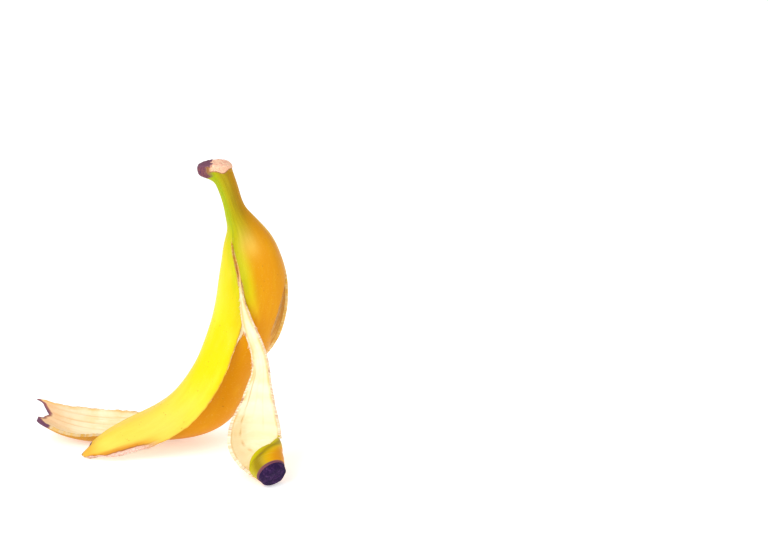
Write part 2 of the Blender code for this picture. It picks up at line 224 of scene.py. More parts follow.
# Loose fibres along the torn edges: strip, side, from and to along the peel, share of their number
FIBRE_PLACES = [
    ("tongue", 1, 66.0, 104.0, 0.34), ("tongue", -1, 70.0, 110.0, 0.10), ("left", 1, 136.0, 161.0, 0.26),
    ("right", 1, 56.0, 110.0, 0.10), ("back", -1, 60.0, 120.0, 0.10),
]
FIBRE_LENGTH = (0.5, 1.7)
FIBRE_RADIUS = 0.17
FIBRE_TIP = 0.02
FIBRE_ROOT = 0.35
FIBRE_SWAY = 0.22
FIBRE_CLEAR = 0.25
FIBRE_ROWS = 6
FIBRE_SIDES = 4

# Relief, in millimetres, and the sizes of its lumps
DENT, DENT_SIZE = 0.28, 9.0
WRINKLE, WRINKLE_SIZE = 0.07, 2.6
STEM_WRINKLE, STEM_WRINKLE_SIZE = 0.16, 3.2
STEM_ROUGHNESS = 0.35
PITH_LUMP, PITH_LUMP_SIZE = 0.22, 4.2
PITH_PIT, PITH_PIT_SIZE = 0.10, 1.5
GROOVE, GROOVE_GAP = 0.08, 2.3
CORD_DEPTH = 0.4
CORD_WANDER, CORD_WANDER_SIZE = 0.05, 2.4
TEAR_ROUGHNESS, TEAR_LUMP_SIZE = 0.34, 0.8
END_LUMP, END_LUMP_SIZE = 0.9, 1.6

# A torn edge's run in and out, as parts of the strip's half width: wave length, size
RAGGED_WAVES = ((23.0, 0.022), (9.1, 0.016), (4.3, 0.010))

# How the mesh is laid out
COLUMNS = {"left": 52, "tongue": 32, "right": 56, "back": 44}
EDGE_CROWDING = 0.45
FINE_ROWS_END = 8.0
EDGE_STEPS = 4
WELD = 0.002
CLOSE = 1e-6
NEVER_ZERO = 1e-9
SKIN, PITH, TORN, STEM_END, BLOSSOM_END = range(5)

# How the patterns are laid on the skin
PATTERN_RADIUS = 15.0
CENTIMETRES = 0.1
FAR = 40.0

# The stage, in metres: each light's name, size and place
FLOOR_HALF = 4.0
LIGHTS = [("key", 0.7, (-0.55, -0.75, 0.85)), ("fill", 0.9, (0.9, -0.55, 0.45))]
LIT_PLACE = (0.0, 0.0, 0.07)
SENSOR_WIDTH = 36.0


def spline(stations, at, slope=False):
    """The natural cubic spline through rows of (knot, values...), or its slope."""
    table = np.array(stations, float)
    knots, values = table[:, 0], table[:, 1:]
    count = len(knots)
    gaps = np.diff(knots)
    system = np.eye(count)
    right = np.zeros_like(values)
    for i in range(1, count - 1):
        system[i, i - 1:i + 2] = gaps[i - 1], 2 * (gaps[i - 1] + gaps[i]), gaps[i]
        after, before = values[i + 1] - values[i], values[i] - values[i - 1]
        right[i] = 6 * (after / gaps[i] - before / gaps[i - 1])
    bend = np.linalg.solve(system, right)
    at = np.atleast_1d(np.asarray(at, float))
    k = np.clip(np.searchsorted(knots, at) - 1, 0, count - 2)
    gap = gaps[k][:, None]
    after = ((at - knots[k])[:, None]).clip(0, gap)
    before = gap - after
    low, high = bend[k], bend[k + 1]
    start, end = values[k] / gap - low * gap / 6, values[k + 1] / gap - high * gap / 6
    if slope:
        return (high * after ** 2 - low * before ** 2) / (2 * gap) + end - start
    return (low * before ** 3 + high * after ** 3) / (6 * gap) + start * before + end * after


def smooth(value, low, high):
    """0 below low, 1 above high and an S between them."""
    part = np.clip((np.asarray(value, float) - low) / (high - low), 0.0, 1.0)
    return part * part * (3 - 2 * part)


def bell(value, middle, width):
    """1 at the middle and falling off to both sides."""
    return np.exp(-((value - middle) / width) ** 2)


def wrapped(angle):
    """An angle in degrees, brought to between -180 and 180."""
    return (angle + 180.0) % 360.0 - 180.0


def unit(rows):
    return rows / np.linalg.norm(rows, axis=-1, keepdims=True)


def grain(points, size, seed):
    """Smooth random numbers from about -1 to 1 at points, with lumps of that size."""
    shift = np.array([seed * 7.31, seed * 3.17, seed * 5.93])
    return np.array([noise.noise(Vector(p)) for p in points / size + shift])


def frames(direction):
    """Front and right as they lie once "down" has been swung over to each direction."""
    direction = unit(direction)
    down = np.array([0.0, 0.0, -1.0])
    swing = np.cross(down, direction)
    share = 1 + (direction @ down)[:, None]
    turned = []
    for axis in ((0.0, -1.0, 0.0), (1.0, 0.0, 0.0)):
        first = np.cross(swing, axis)
        turned.append(np.array(axis) + first + np.cross(swing, first) / share)
    return turned


def front_line(along):
    """How far around the front tear is."""
    return np.interp(along, [a for a, _ in FRONT_LINE], [b for _, b in FRONT_LINE])


def opening(along, tear):
    """How far an edge has drawn back from the middle of a tear."""
    return np.minimum(np.maximum(along - tear, 0.0) * OPENING_SLOPE, OPENING_MOST)


def tube_numbers(along):
    """The middle line of the stem and the body, its direction, and the radius."""
    middle = spline(TUBE, along)
    slope = spline(TUBE, along, slope=True)
    centre = np.stack([middle[:, 0], 0 * middle[:, 0], middle[:, 1]], axis=1)
    direction = np.stack([slope[:, 0], 0 * slope[:, 0], slope[:, 1]], axis=1)
    return centre, direction, middle[:, 2]


def wall_at(along, radius):
    """The wall: solid down to the bottom of the neck, then as thin as the body's."""
    part = smooth(along, NECK_BOTTOM, WALL_BELOW_NECK) ** 0.5
    return np.where(along <= NECK_BOTTOM, radius, radius + (WALL - radius) * part)


def limits(name, along):
    """The two edges of a strip around the body, in degrees."""
    radius = tube_numbers(along)[2]
    middle = front_line(along)
    fan = 1 - smooth(along, TONGUE_FAN_START, FRONT_TEAR)
    half = np.degrees(TONGUE_ROOT / radius)
    half = half + (TONGUE_FAN - half) * fan
    gap = np.degrees(opening(along, FRONT_TEAR) / radius)
    left_gap = np.degrees(opening(along, LEFT_TEAR) / radius) / 2
    right_gap = np.degrees(opening(along, RIGHT_TEAR) / radius) / 2
    recess = RIGHT_RECESS * smooth(along, *RIGHT_RECESS_ALONG)
    table = {
        "left": (LEFT_LINE + left_gap, middle - half - gap * SLIT_LEFT_SHARE),
        "tongue": (middle - half, middle + half),
        "right": (middle + half + gap * SLIT_RIGHT_SHARE, RIGHT_LINE - right_gap - recess),
        "back": (RIGHT_LINE + right_gap, LEFT_LINE + 360 - left_gap),
    }
    low, high = table[name]
    return low + 0 * along, high + 0 * along


def stations_of(name):
    """A strip's stations, with those of the round body above them."""
    table, _, _, central = STRIPS[name]
    along = np.array([place for place in BODY_STATIONS if place < table[0][0] - STATION_GAP])
    centre, direction, radius = tube_numbers(along)
    low, high = limits(name, along)
    turn = (low + high) / 2
    front, right = frames(direction)
    outward = np.cos(np.radians(turn))[:, None] * front + np.sin(np.radians(turn))[:, None] * right
    point = centre if central else centre + radius[:, None] * outward
    half = np.radians(high - low) / 2 * radius
    return np.concatenate([np.column_stack([along, point, turn, half, radius]), np.array(table)])


def ragged(along, seed):
    """A torn edge's run in and out, as a part of the half width."""
    total = 0 * along
    for k, (length, size) in enumerate(RAGGED_WAVES):
        total = total + size * np.sin(2 * math.pi * along / length + seed * (k + 1.7))
    return total


def ridge(along, around):
    """The low ridges that run down a banana's skin."""
    wave = np.cos(np.radians(around + RIDGE_TURN) * RIDGES)
    return RIDGE_HEIGHT * wave * smooth(along, RIDGE_START, RIDGE_START + RIDGE_RUN)


def stem_lobe(along, around):
    """The torn lobe that sticks out to the left at the top of the stem."""
    here = bell(along, STEM_LOBE_ALONG, STEM_LOBE_LENGTH)
    here = here * bell(wrapped(around - STEM_LOBE_AROUND), 0.0, STEM_LOBE_SPREAD)
    rough = np.sin(np.radians(around) * 3 + along * 1.3) * (1 - smooth(along, 2.0, 6.0))
    return STEM_LOBE * here + STEM_ROUGHNESS * rough


def is_closed(name, along):
    """Whether a strip's two edges meet, as they do near the blossom end."""
    numbers = spline(stations_of(name), along)
    return numbers[:, 4] >= math.pi * numbers[:, 5]


def place_on_skin(along, around):
    """Where a point would lie if the peel were a straight tube, for patterns that run down it."""
    angle = np.radians(around)
    return np.stack([along, PATTERN_RADIUS * np.cos(angle), PATTERN_RADIUS * np.sin(angle)], axis=-1)


def skin_relief(along, around):
    """Dents and soft wrinkles of the skin, in millimetres."""
    place = place_on_skin(along, around)
    broad = grain(place * (0.45, 1, 1), DENT_SIZE, seed=1) * DENT
    fine = grain(place * (0.35, 1, 1), WRINKLE_SIZE, seed=2) * WRINKLE
    body = smooth(along, 14.0, 44.0)
    stem = grain(place * (0.18, 2.2, 2.2), STEM_WRINKLE_SIZE, seed=3) * STEM_WRINKLE
    return (broad + fine) * body + stem * (1 - smooth(along, 24.0, 44.0))


def cords_of(name, along, column):
    """How much of a sunken cord there is at points of the pith: 1 in the middle of a strong one."""
    half = spline(stations_of(name), along)[:, 4]
    total = 0.0
    for k, (places, strength) in enumerate(CORDS[name]):
        middle = np.interp(along, [a for a, _ in places], [c for _, c in places])
        line = np.stack([along * 0.12, 0 * along + k * 5.0, 0 * along], axis=1)
        middle = middle + grain(line, CORD_WANDER_SIZE, seed=11) * CORD_WANDER
        here = smooth(along, places[0][0] - 6.0, places[0][0] + 4.0)
        here = here * (1 - smooth(along, places[-1][0] - 4.0, places[-1][0] + 6.0))
        total = total + strength * here * bell((column - middle) * half, 0.0, CORD_WIDTH)
    return total


def pith_relief(name, along, around, column):
    """Grooves, cords and pitting of the pith, in millimetres towards the hollow."""
    place = place_on_skin(along, around)
    half = spline(stations_of(name), along)[:, 4]
    across = np.stack([along, column * half, 0 * along], axis=1)
    lumps = grain(across * (0.35, 1, 1), PITH_LUMP_SIZE, seed=12) * PITH_LUMP
    pits = grain(across * (0.6, 1, 1), PITH_PIT_SIZE, seed=13) * PITH_PIT
    grooves = np.sin(along * 2 * math.pi / GROOVE_GAP + grain(place, 6.0, seed=14) * 2.0)
    grooves = GROOVE * grooves * smooth(np.abs(column), 0.45, 0.85)
    relief = lumps + pits + grooves - CORD_DEPTH * cords_of(name, along, column)
    return relief * np.minimum(half / 8.0, 1.0) * smooth(along, NECK_BOTTOM + 4.0, WALL_BELOW_NECK + 6.0)


def on_body(along, around, below, relief):
    """Points of the stem and the round body."""
    centre, direction, radius = tube_numbers(along)
    front, right = frames(direction)
    angle = np.radians(around)[:, None]
    outward = np.cos(angle) * front + np.sin(angle) * right
    slant = -STEM_SLANT * radius * np.sin(angle[:, 0]) * (1 - smooth(along, 0.0, STEM_SLANT_LENGTH))
    lift = ridge(along, around) + stem_lobe(along, around)
    lift = np.where(along <= NECK_BOTTOM, lift * (1 - below), lift)
    reach = radius + lift - below * wall_at(along, radius) + relief
    return centre + reach[:, None] * outward - slant[:, None] * unit(direction)


def torn_run(name, along, column, half, detail):
    """How far a torn edge runs in and out, as a part of the strip's half width."""
    tears = STRIPS[name][1]
    slow = np.where(column < 0, ragged(along, 1.3 + tears[0]), ragged(along, 4.1 + tears[1]))
    edge = np.stack([along, np.sign(column) * 9.0, 0 * along], axis=1)
    quick = grain(edge, 1.7, seed=21) * 0.45 + grain(edge, 0.7, seed=22) * 0.25
    rough = 0.3 + (0.25 if name == "right" else 0.7) * smooth(along, 110.0, 175.0)
    return (slow + np.clip(quick * detail / half, -0.3, 0.3)) * rough


def as_free_strip(name, along, around, column, below, relief, detail):
    """Points of a strip as it hangs free, curled about its own line."""
    central = STRIPS[name][3]
    table = stations_of(name)
    numbers = spline(table, along)
    front, right = frames(spline(table, along, slope=True)[:, :3])
    point, turn, half, curl = numbers[:, :3], np.radians(numbers[:, 3])[:, None], numbers[:, 4], numbers[:, 5]
    normal = np.cos(turn) * front + np.sin(turn) * right
    sideways = np.cos(turn) * right - np.sin(turn) * front
    if not central:
        point = point - curl[:, None] * normal
    spread = np.clip(half / curl, 0.02, math.pi)
    closed = is_closed(name, along)
    jag = torn_run(name, along, column, half, detail)
    phi = column * spread * np.where(closed, 1.0, 1 + jag * np.abs(column) ** 3)
    most = math.pi - SEAM_ANGLE * ~closed
    phi = np.clip(phi, -most, most)[:, None]
    local = np.cos(phi) * normal + np.sin(phi) * sideways
    wall = WALL * (1 - THIN_EDGE * np.abs(column) ** 4 * ~closed)
    if name == "tongue":
        end = table[-1, 0]
        wall = wall * (TONGUE_WALL + (1 - TONGUE_WALL) * smooth(along, *TONGUE_WALL_ALONG))
        wall = wall + (curl - wall) * smooth(along, end - CUP_FILL, end)
    reach = curl + ridge(along, around) * (spread < RIDGED_SPREAD) - below * wall + relief
    return point + reach[:, None] * local


def surface(name, along, column, below, detail=1.0):
    """Points of a strip, below the skin by a part of the wall (0 is the skin, 1 the inside), and around."""
    tears, ease = STRIPS[name][1:3]
    low, high = limits(name, along)
    around = low + (high - low) * (column + 1) / 2
    relief = skin_relief(along, around) * (1 - below) - pith_relief(name, along, around, column) * below
    relief = relief * detail
    body = on_body(along, around, below, relief)
    free = as_free_strip(name, along, around, column, below, relief, detail)
    first, second = (smooth(along, tear, tear + ease) for tear in tears)
    middle = smooth(along, min(tears), min(tears) + ease)
    weight = np.where(column < 0, first, second) * np.abs(column) + middle * (1 - np.abs(column))
    return body * (1 - weight[:, None]) + free * weight[:, None], around


def columns_of(name):
    """The places across a strip of its columns of points, closer together near its edges."""
    even = np.linspace(-1.0, 1.0, COLUMNS[name] + 1)
    return (1 - EDGE_CROWDING) * even + EDGE_CROWDING * np.sin(even * math.pi / 2)


def rows_of(name, end, step):
    """How far along the peel each row lies, in the column of a strip that ends there."""
    shared = np.unique(np.concatenate([
        np.arange(FIRST_ROW, FINE_ROWS_END, step * 0.5),
        np.arange(FINE_ROWS_END, LEFT_TEAR, step),
        [NECK_BOTTOM, FRONT_TEAR, RIGHT_TEAR, LEFT_TEAR],
    ]).round(4))
    shared = shared[np.append(np.diff(shared) > 1e-3, True)]
    count = int(round((STRIPS[name][0][-1][0] - LEFT_TEAR) / step))
    return np.concatenate([shared, np.linspace(LEFT_TEAR, end, count + 1)[1:]])


def end_of(name, across):
    """How far along the peel a strip's ragged end is."""
    shape = END_SHAPES[name]
    end = STRIPS[name][0][-1][0] - np.interp(across, [a for a, _ in shape], [b for _, b in shape])
    if name == "tongue":
        return end + 0 * across
    places = np.stack([across * 14.0, 0 * across, 0 * across + len(name) * 3.0], axis=1)
    return end + grain(places, END_LUMP_SIZE, seed=31) * END_LUMP


def on_floor(outer, inner):
    """Flattens what lies below the floor, the inside together with the skin."""
    lift = np.maximum(0.0, -np.minimum(outer[..., 2], inner[..., 2]))
    outer[..., 2] += lift
    inner[..., 2] += lift
    return outer, inner


def to_tear(name, along, column):
    """How far a point is from its strip's nearest tear, and from its ragged end, in millimetres."""
    half = spline(stations_of(name), along)[:, 4]
    tears = STRIPS[name][1]
    left = np.where(along > tears[0], (1 + column) * half, FAR)
    right = np.where(along > tears[1], (1 - column) * half, FAR)
    end = end_of(name, column) - along
    return np.minimum(np.minimum(left, right), np.maximum(end, 0.0)), end


def ripeness_and_painted_light(along, around):
    """How green, olive, orange and pale the skin of the stem and the round body is. Down the stem's right
    side the olive is partly and the orange wholly painted shade, the orange right of the front tear is
    painted shade, and the pale patch below the stem is a painted highlight.
    """
    radius = tube_numbers(np.minimum(along, TUBE[-1][0]))[2]
    from_slit = np.radians(around - front_line(along)) * radius
    left = from_slit < 0
    body = smooth(along, 24.0, 42.0)
    beside = np.where(left, 0.6 * bell(from_slit, 0.0, 11.0), 0.75 * bell(from_slit, 0.0, 6.0))
    beside = beside * (1 - smooth(along, 60.0, np.where(left, 104.0, 80.0)))
    green = (1 - body) * bell(around, -42.0, 52.0) + body * beside
    # Olive: the stem's band and the olive down its right side are partly painted shade; near the stem's left
    # top and beside the front tear it is the skin's own colour.
    olive = bell(around, 16.0, 40.0) * (1 - smooth(along, 24.0, 46.0))
    olive = olive + 0.42 * smooth(around, 20.0, 60.0) * (1 - smooth(along, 22.0, 40.0))
    olive = olive + 0.4 * bell(around, -92.0, 30.0) * (1 - smooth(along, 12.0, 30.0))
    olive = olive + 0.45 * body * np.where(from_slit > 0, beside, 0.0)
    # Painted shade: orange down the stem's right side and on the body right of the front tear.
    warm = smooth(around, 2.0, 44.0) * (1 - body) + smooth(from_slit, 2.5, 9.0) * body
    # Painted highlight: a pale patch on the body just below the stem.
    pale = 1.1 * bell(along, 40.0, 6.5) * bell(around, 12.0, 20.0)
    return {"green": green, "olive": olive, "warm": warm, "pale": pale}


def mark_left(marks, along, column, end):
    """The left strip: a painted highlight down one side and paler lower down, riper to its tip, with torn
    rind along the tip's lower edge.
    """
    warm = 0.8 * smooth(along, 164.0, 180.0) + 0.28 * smooth(along, 106.0, 146.0)
    marks["warm"] = warm + 0.6 * smooth(along, 120.0, 160.0) * smooth(column, 0.3, 1.0)
    # Painted highlight down the strip's left side; the strip is also paler lower down.
    pale = 0.8 * smooth(-column, -0.1, 0.9) * (1 - smooth(along, 150.0, 170.0))
    marks["pale"] = pale + 0.8 * smooth(along, 104.0, 140.0) * (1 - pale)
    marks["rind"] = smooth(along, 138.0, 152.0) * smooth(column, 0.1, 0.4)
    marks["bruise"] = (1 - smooth(end, 0.3, 3.2)) * (1 - 0.75 * smooth(column, -0.6, 0.1))


def mark_right(marks, along, column, end):
    """The right strip: orange as painted shade, with a brown and olive lower rim and a bruised tip."""
    near = smooth(along, 140.0, 165.0) * smooth(-column, 0.3, 0.6)
    rim = near * (1 - smooth(marks["edge"], 0.0, 0.5))
    tip = (1 - smooth(end, 0.4, 3.6)) * (0.7 + 0.3 * np.abs(column))
    # Painted shade: the right strip is coloured orange from its top down.
    marks["warm"] = np.maximum(marks["warm"], smooth(along, 56.0, 84.0))
    marks["olive"] = marks["olive"] + 0.4 * near
    marks["bruise"] = np.maximum(tip, 0.36 * rim)
    marks["dry"] = np.maximum(marks["dry"], 0.8 * rim)


def mark_back(marks, along, column, end):
    """The back strip: ripe all over, dried along the edge by the right strip, with a bruised tip."""
    marks["warm"] = 0.7 + 0 * along
    marks["bruise"] = 1 - smooth(end, 0.8, 5.0)
    marks["dry"] = (1 - smooth(column, -0.85, -0.35)) * (1 - smooth(along, 92.0, 112.0))


def mark_tongue(marks, along, column, end):
    """The front tongue: its cup is green at one side, then olive, then orange, with two spots."""
    cup = smooth(along, 146.0, 156.0)
    green_side = 1 - smooth(column, -0.9, -0.5)
    spot = bell(along, 162.5, 1.5) * bell(column, -0.63, 0.05)
    stain = bell(along, 152.0, 1.2) * bell(column, -0.2, 0.05)
    marks["green"] = marks["green"] + 0.55 * cup * green_side
    marks["olive"] = marks["olive"] + cup * (1.1 * bell(column, -0.58, 0.2) + 0.3 * green_side)
    marks["warm"] = marks["warm"] * (1 - cup) + cup * smooth(column, -0.6, -0.15)
    marks["bruise"] = np.maximum(1 - smooth(end, 0.3, 2.2), np.maximum(0.75 * spot, 0.5 * stain))


MARKERS = {"left": mark_left, "right": mark_right, "back": mark_back, "tongue": mark_tongue}


def marks_of(name, along, column, around):
    """The masks that the materials read, for points of a strip."""
    edge, end = to_tear(name, along, column)
    marks = ripeness_and_painted_light(along, around) | {
        "edge": edge, "bruise": 0 * along, "rind": 0 * along,
        "dry": 1 - smooth(along, 54.0, 62.0), "cord": cords_of(name, along, column),
        "down": along * CENTIMETRES, "place": place_on_skin(along, around) * CENTIMETRES,
    }
    MARKERS[name](marks, along, column, end)
    lobe = bell(wrapped(around - STEM_LOBE_AROUND), 0.0, 56.0) * (1 - smooth(along, 4.6, 6.2))
    marks["bruise"] = np.maximum(marks["bruise"], lobe)
    cut = 3.1 + 0.8 * np.sin(np.radians(around) * 2 + 1.0) + 0.5 * np.sin(np.radians(around) * 5)
    marks["flesh"] = 1 - smooth(along, cut - 0.4, cut + 0.3)
    return marks


class Grids:
    """Collects grids of points, their faces' materials and their points' masks, and makes one mesh."""

    def __init__(self):
        self.points, self.faces, self.zones, self.marks, self.count = [], [], [], {}, 0

    def add(self, grid, zone, marks):
        rows, columns = grid.shape[:2]
        index = self.count + np.arange(rows * columns).reshape(rows, columns)
        corners = [index[:-1, :-1], index[1:, :-1], index[1:, 1:], index[:-1, 1:]]
        faces = np.stack(corners, axis=-1).reshape(-1, 4)
        self.points.append(grid.reshape(-1, 3))
        self.faces.append(faces)
        self.zones.append(np.full(len(faces), zone))
        for name, values in marks.items():
            width = 3 if name == "place" else 1
            self.marks.setdefault(name, []).append(np.asarray(values, float).reshape(-1, width))
        self.count += rows * columns

    def mesh(self, name):
        mesh = bpy.data.meshes.new(name)
        points = (np.concatenate(self.points) - np.array(ORIGIN)) * METRES
        mesh.from_pydata(points.tolist(), [], np.concatenate(self.faces).tolist())
        mesh.polygons.foreach_set("material_index", np.concatenate(self.zones).astype(np.int32))
        for mark, values in self.marks.items():
            vector = mark == "place"
            layer = mesh.attributes.new(mark, "FLOAT_VECTOR" if vector else "FLOAT", "POINT")
            values = np.concatenate(values).astype(np.float32).ravel()
            layer.data.foreach_set("vector" if vector else "value", values)
        work = bmesh.new()
        work.from_mesh(mesh)
        bmesh.ops.remove_doubles(work, verts=work.verts, dist=WELD * METRES)
        bmesh.ops.recalc_face_normals(work, faces=work.faces)
        work.to_mesh(mesh)
        work.free()
        mesh.shade_smooth()
        return mesh


def pick(marks, chosen):
    """The masks of some of a grid's points."""
    return {name: values[chosen] for name, values in marks.items()}


def wall_grid(skin, inside, marks, seed):
    """A torn face from a line of points on the skin to one on the inside, rough in between."""
    share = np.linspace(0.0, 1.0, EDGE_STEPS + 1)
    grid = skin[:, None] * (1 - share[None, :, None]) + inside[:, None] * share[None, :, None]
    run = np.gradient(skin, axis=0)
    out = unit(np.cross(run, inside - skin) + NEVER_ZERO)
    rough = grain(grid.reshape(-1, 3), TEAR_LUMP_SIZE, seed).reshape(grid.shape[:2])
    rough = TEAR_ROUGHNESS * rough * np.sin(share * math.pi)
    grid = grid + out[:, None] * rough[..., None]
    spread = {name: np.repeat(values[:, None], EDGE_STEPS + 1, axis=1) for name, values in marks.items()}
    return grid, spread


def stem_cap(ring, marks):
    """The torn end of the stem, from its middle out to the first row of the skin."""
    centre, direction, _ = tube_numbers(np.array([0.0]))
    centre, direction = centre[0], unit(direction)[0]
    first = centre + direction * FIRST_ROW
    rows = []
    for share in np.linspace(0.0, 1.0, STEM_CAP_ROWS):
        radius = share * TUBE[0][3]
        along = np.interp(radius, [r for _, r in STEM_CAP], [a for a, _ in STEM_CAP])
        row = centre + direction * along + (ring - first) * share
        fibre = grain(row * (1.0, 1.0, 0.3), 1.5, seed=41) * 0.75 + grain(row, 0.6, seed=42) * 0.3
        row = row - direction * (fibre * math.sin(math.pi * min(share * 1.05, 1.0)))[:, None]
        rows.append(row)
    rows[-1] = ring
    grid = np.stack(rows)
    spread = {name: np.repeat(values[None], len(rows), axis=0) for name, values in marks.items()}
    leftward = (centre - grid) @ frames(direction[None])[1][0]
    wander = grain(grid.reshape(-1, 3), 2.0, seed=43).reshape(leftward.shape)
    spread["bruise"] = smooth(leftward + wander * 1.4, 1.4, 3.4)
    return grid, spread


def blossom_cap(ring, marks):
    """The blunt blossom end, from the last row of the skin in to its middle."""
    table = stations_of("tongue")
    middle, radius = table[-1, 1:4], table[-1, 6]
    direction = unit(spline(table, table[-1:, 0], slope=True)[:, :3])[0]
    inwards, outs, sizes = zip(*BLOSSOM_CAP)
    rows = []
    for share in np.linspace(0.0, 1.0, BLOSSOM_CAP_ROWS):
        out, size = np.interp(share, inwards, outs), np.interp(share, inwards, sizes)
        row = middle + direction * out + (ring - middle) * size / radius
        rough = grain(row, 2.2, seed=51) * 0.5 + grain(row, 0.8, seed=52) * 0.3
        row = row + direction * (rough * (1 - (1 - share) ** 6))[:, None]
        rows.append(row)
    rows[0] = ring
    grid = np.stack(rows)
    spread = {name: np.repeat(values[None], len(rows), axis=0) for name, values in marks.items()}
    return grid, spread


def strip_into(grids, name, step, detail):
    """Adds a strip's skin, inside, torn edges and end."""
    across = columns_of(name)
    along = np.stack([rows_of(name, end, step) for end in end_of(name, across)], axis=1)
    column = np.repeat(across[None], len(along), axis=0)
    flat = along.ravel(), column.ravel()
    outer, around = surface(name, *flat, 0.0, detail)
    inner, _ = surface(name, *flat, 1.0, detail)
    shape = along.shape
    outer, inner = on_floor(outer.reshape(*shape, 3), inner.reshape(*shape, 3))
    marks = marks_of(name, *flat, around)
    marks = {key: value.reshape(*shape, *value.shape[1:]) for key, value in marks.items()}
    middle = along[:, len(across) // 2]
    tears = STRIPS[name][1]
    hollow = middle >= NECK_BOTTOM - CLOSE
    apart = ~is_closed(name, middle)
    apart[1:] |= apart[:-1]
    grids.add(outer, SKIN, marks)
    grids.add(inner[hollow][:, ::-1], PITH, {key: value[hollow][:, ::-1] for key, value in marks.items()})
    for side, tear, seed in ((0, tears[0], 61), (-1, tears[1], 62)):
        torn = apart & (middle >= tear - CLOSE)
        grid, spread = wall_grid(outer[torn, side], inner[torn, side], pick(marks, (torn, side)), seed)
        grids.add(grid, TORN, spread)
    cap, spread = stem_cap(outer[0], pick(marks, 0))
    grids.add(cap, STEM_END, spread)
    if name == "tongue":
        cap, spread = blossom_cap(outer[-1], pick(marks, -1))
        grids.add(cap, BLOSSOM_END, spread)
    else:
        grid, spread = wall_grid(outer[-1], inner[-1], pick(marks, -1), 63)
        grids.add(grid, TORN, spread)


def fibre_lines(seed, count, detail):
    """Root points, directions and lengths of the short fibres that stand out of the torn edges."""
    rng = np.random.default_rng(seed)
    lines = []
    for name, side, low, high, share in FIBRE_PLACES:
        many = int(count * share)
        along = rng.uniform(low, high, many)
        column = np.full(many, float(side))
        inner_side = rng.uniform(0.25, 1.0, many)
        first, around = surface(name, along, column, 0.0, detail)
        last, _ = surface(name, along, column, 1.0, detail)
        root = first + (last - first) * inner_side[:, None]
        back, _ = surface(name, along, column * 0.9, 0.5, detail)
        ahead, _ = surface(name, along + 1.0, column, 0.5, detail)
        out = unit(root - back)
        run = unit(ahead - (first + last) / 2)
        marks = marks_of(name, along, column, around)
        for i in range(many):
            length, sway = rng.uniform(*FIBRE_LENGTH), rng.normal(0, 1, 3)
            lines.append((root[i], out[i], run[i], length, sway, pick(marks, i)))
    return lines


def fibres_into(grids, seed, count, detail):
    """Adds short tapering fibres, each a thin bent tube."""
    turns = np.linspace(0, 2 * math.pi, FIBRE_SIDES + 1)
    for root, out, run, length, sway, marks in fibre_lines(seed, count, detail):
        across = unit(np.cross(out, run) + NEVER_ZERO)
        rows = []
        for share in np.linspace(0.0, 1.0, FIBRE_ROWS):
            lean = out * share * (1 - 0.25 * share) + run * 0.5 * share * (1 + share)
            middle = root - out * FIBRE_ROOT + lean * length + sway * FIBRE_SWAY * share ** 2
            middle[2] = max(middle[2], FIBRE_CLEAR)
            thick = FIBRE_RADIUS * (1 - share) ** 0.7 + FIBRE_TIP
            rows.append([middle + thick * (math.cos(a) * out + math.sin(a) * across) for a in turns])
        grid = np.array(rows)
        size = grid.shape[:2]
        spread = {name: np.broadcast_to(value, (*size, *np.shape(value))) for name, value in marks.items()}
        grids.add(grid, zone=0, marks=spread)


class Value:
    """A shader socket that can be added, subtracted and multiplied like a number."""

    def __init__(self, graph, socket):
        self.graph, self.socket = graph, socket

    def maths(self, operation, *others, clamp=False):
        settings = {"operation": operation, "use_clamp": clamp}
        return self.graph.node("ShaderNodeMath", settings, dict(enumerate((self, *others)))).out(0)

    def __add__(self, other):
        return self.maths("ADD", other)

    def __radd__(self, other):
        return self.maths("ADD", other)

    def __sub__(self, other):
        return self.maths("SUBTRACT", other)

    def __rsub__(self, other):
        return self.graph.number(other).maths("SUBTRACT", self)

    def __mul__(self, other):
        return self.maths("MULTIPLY", other)

    def held(self):
        """Kept between 0 and 1."""
        return self.maths("ADD", 0.0, clamp=True)

    def ramp(self, low, high, start=0.0, end=1.0):
        """Start below low, end above high and an S between them."""
        settings = {"interpolation_type": "SMOOTHSTEP"}
        inputs = {"Value": self, "From Min": low, "From Max": high, "To Min": start, "To Max": end}
        return self.graph.node("ShaderNodeMapRange", settings, inputs).out(0)


class Node:
    """A shader node with its outputs at hand."""

    def __init__(self, graph, node):
        self.graph, self.node = graph, node

    def out(self, key):
        return Value(self.graph, self.node.outputs[key])


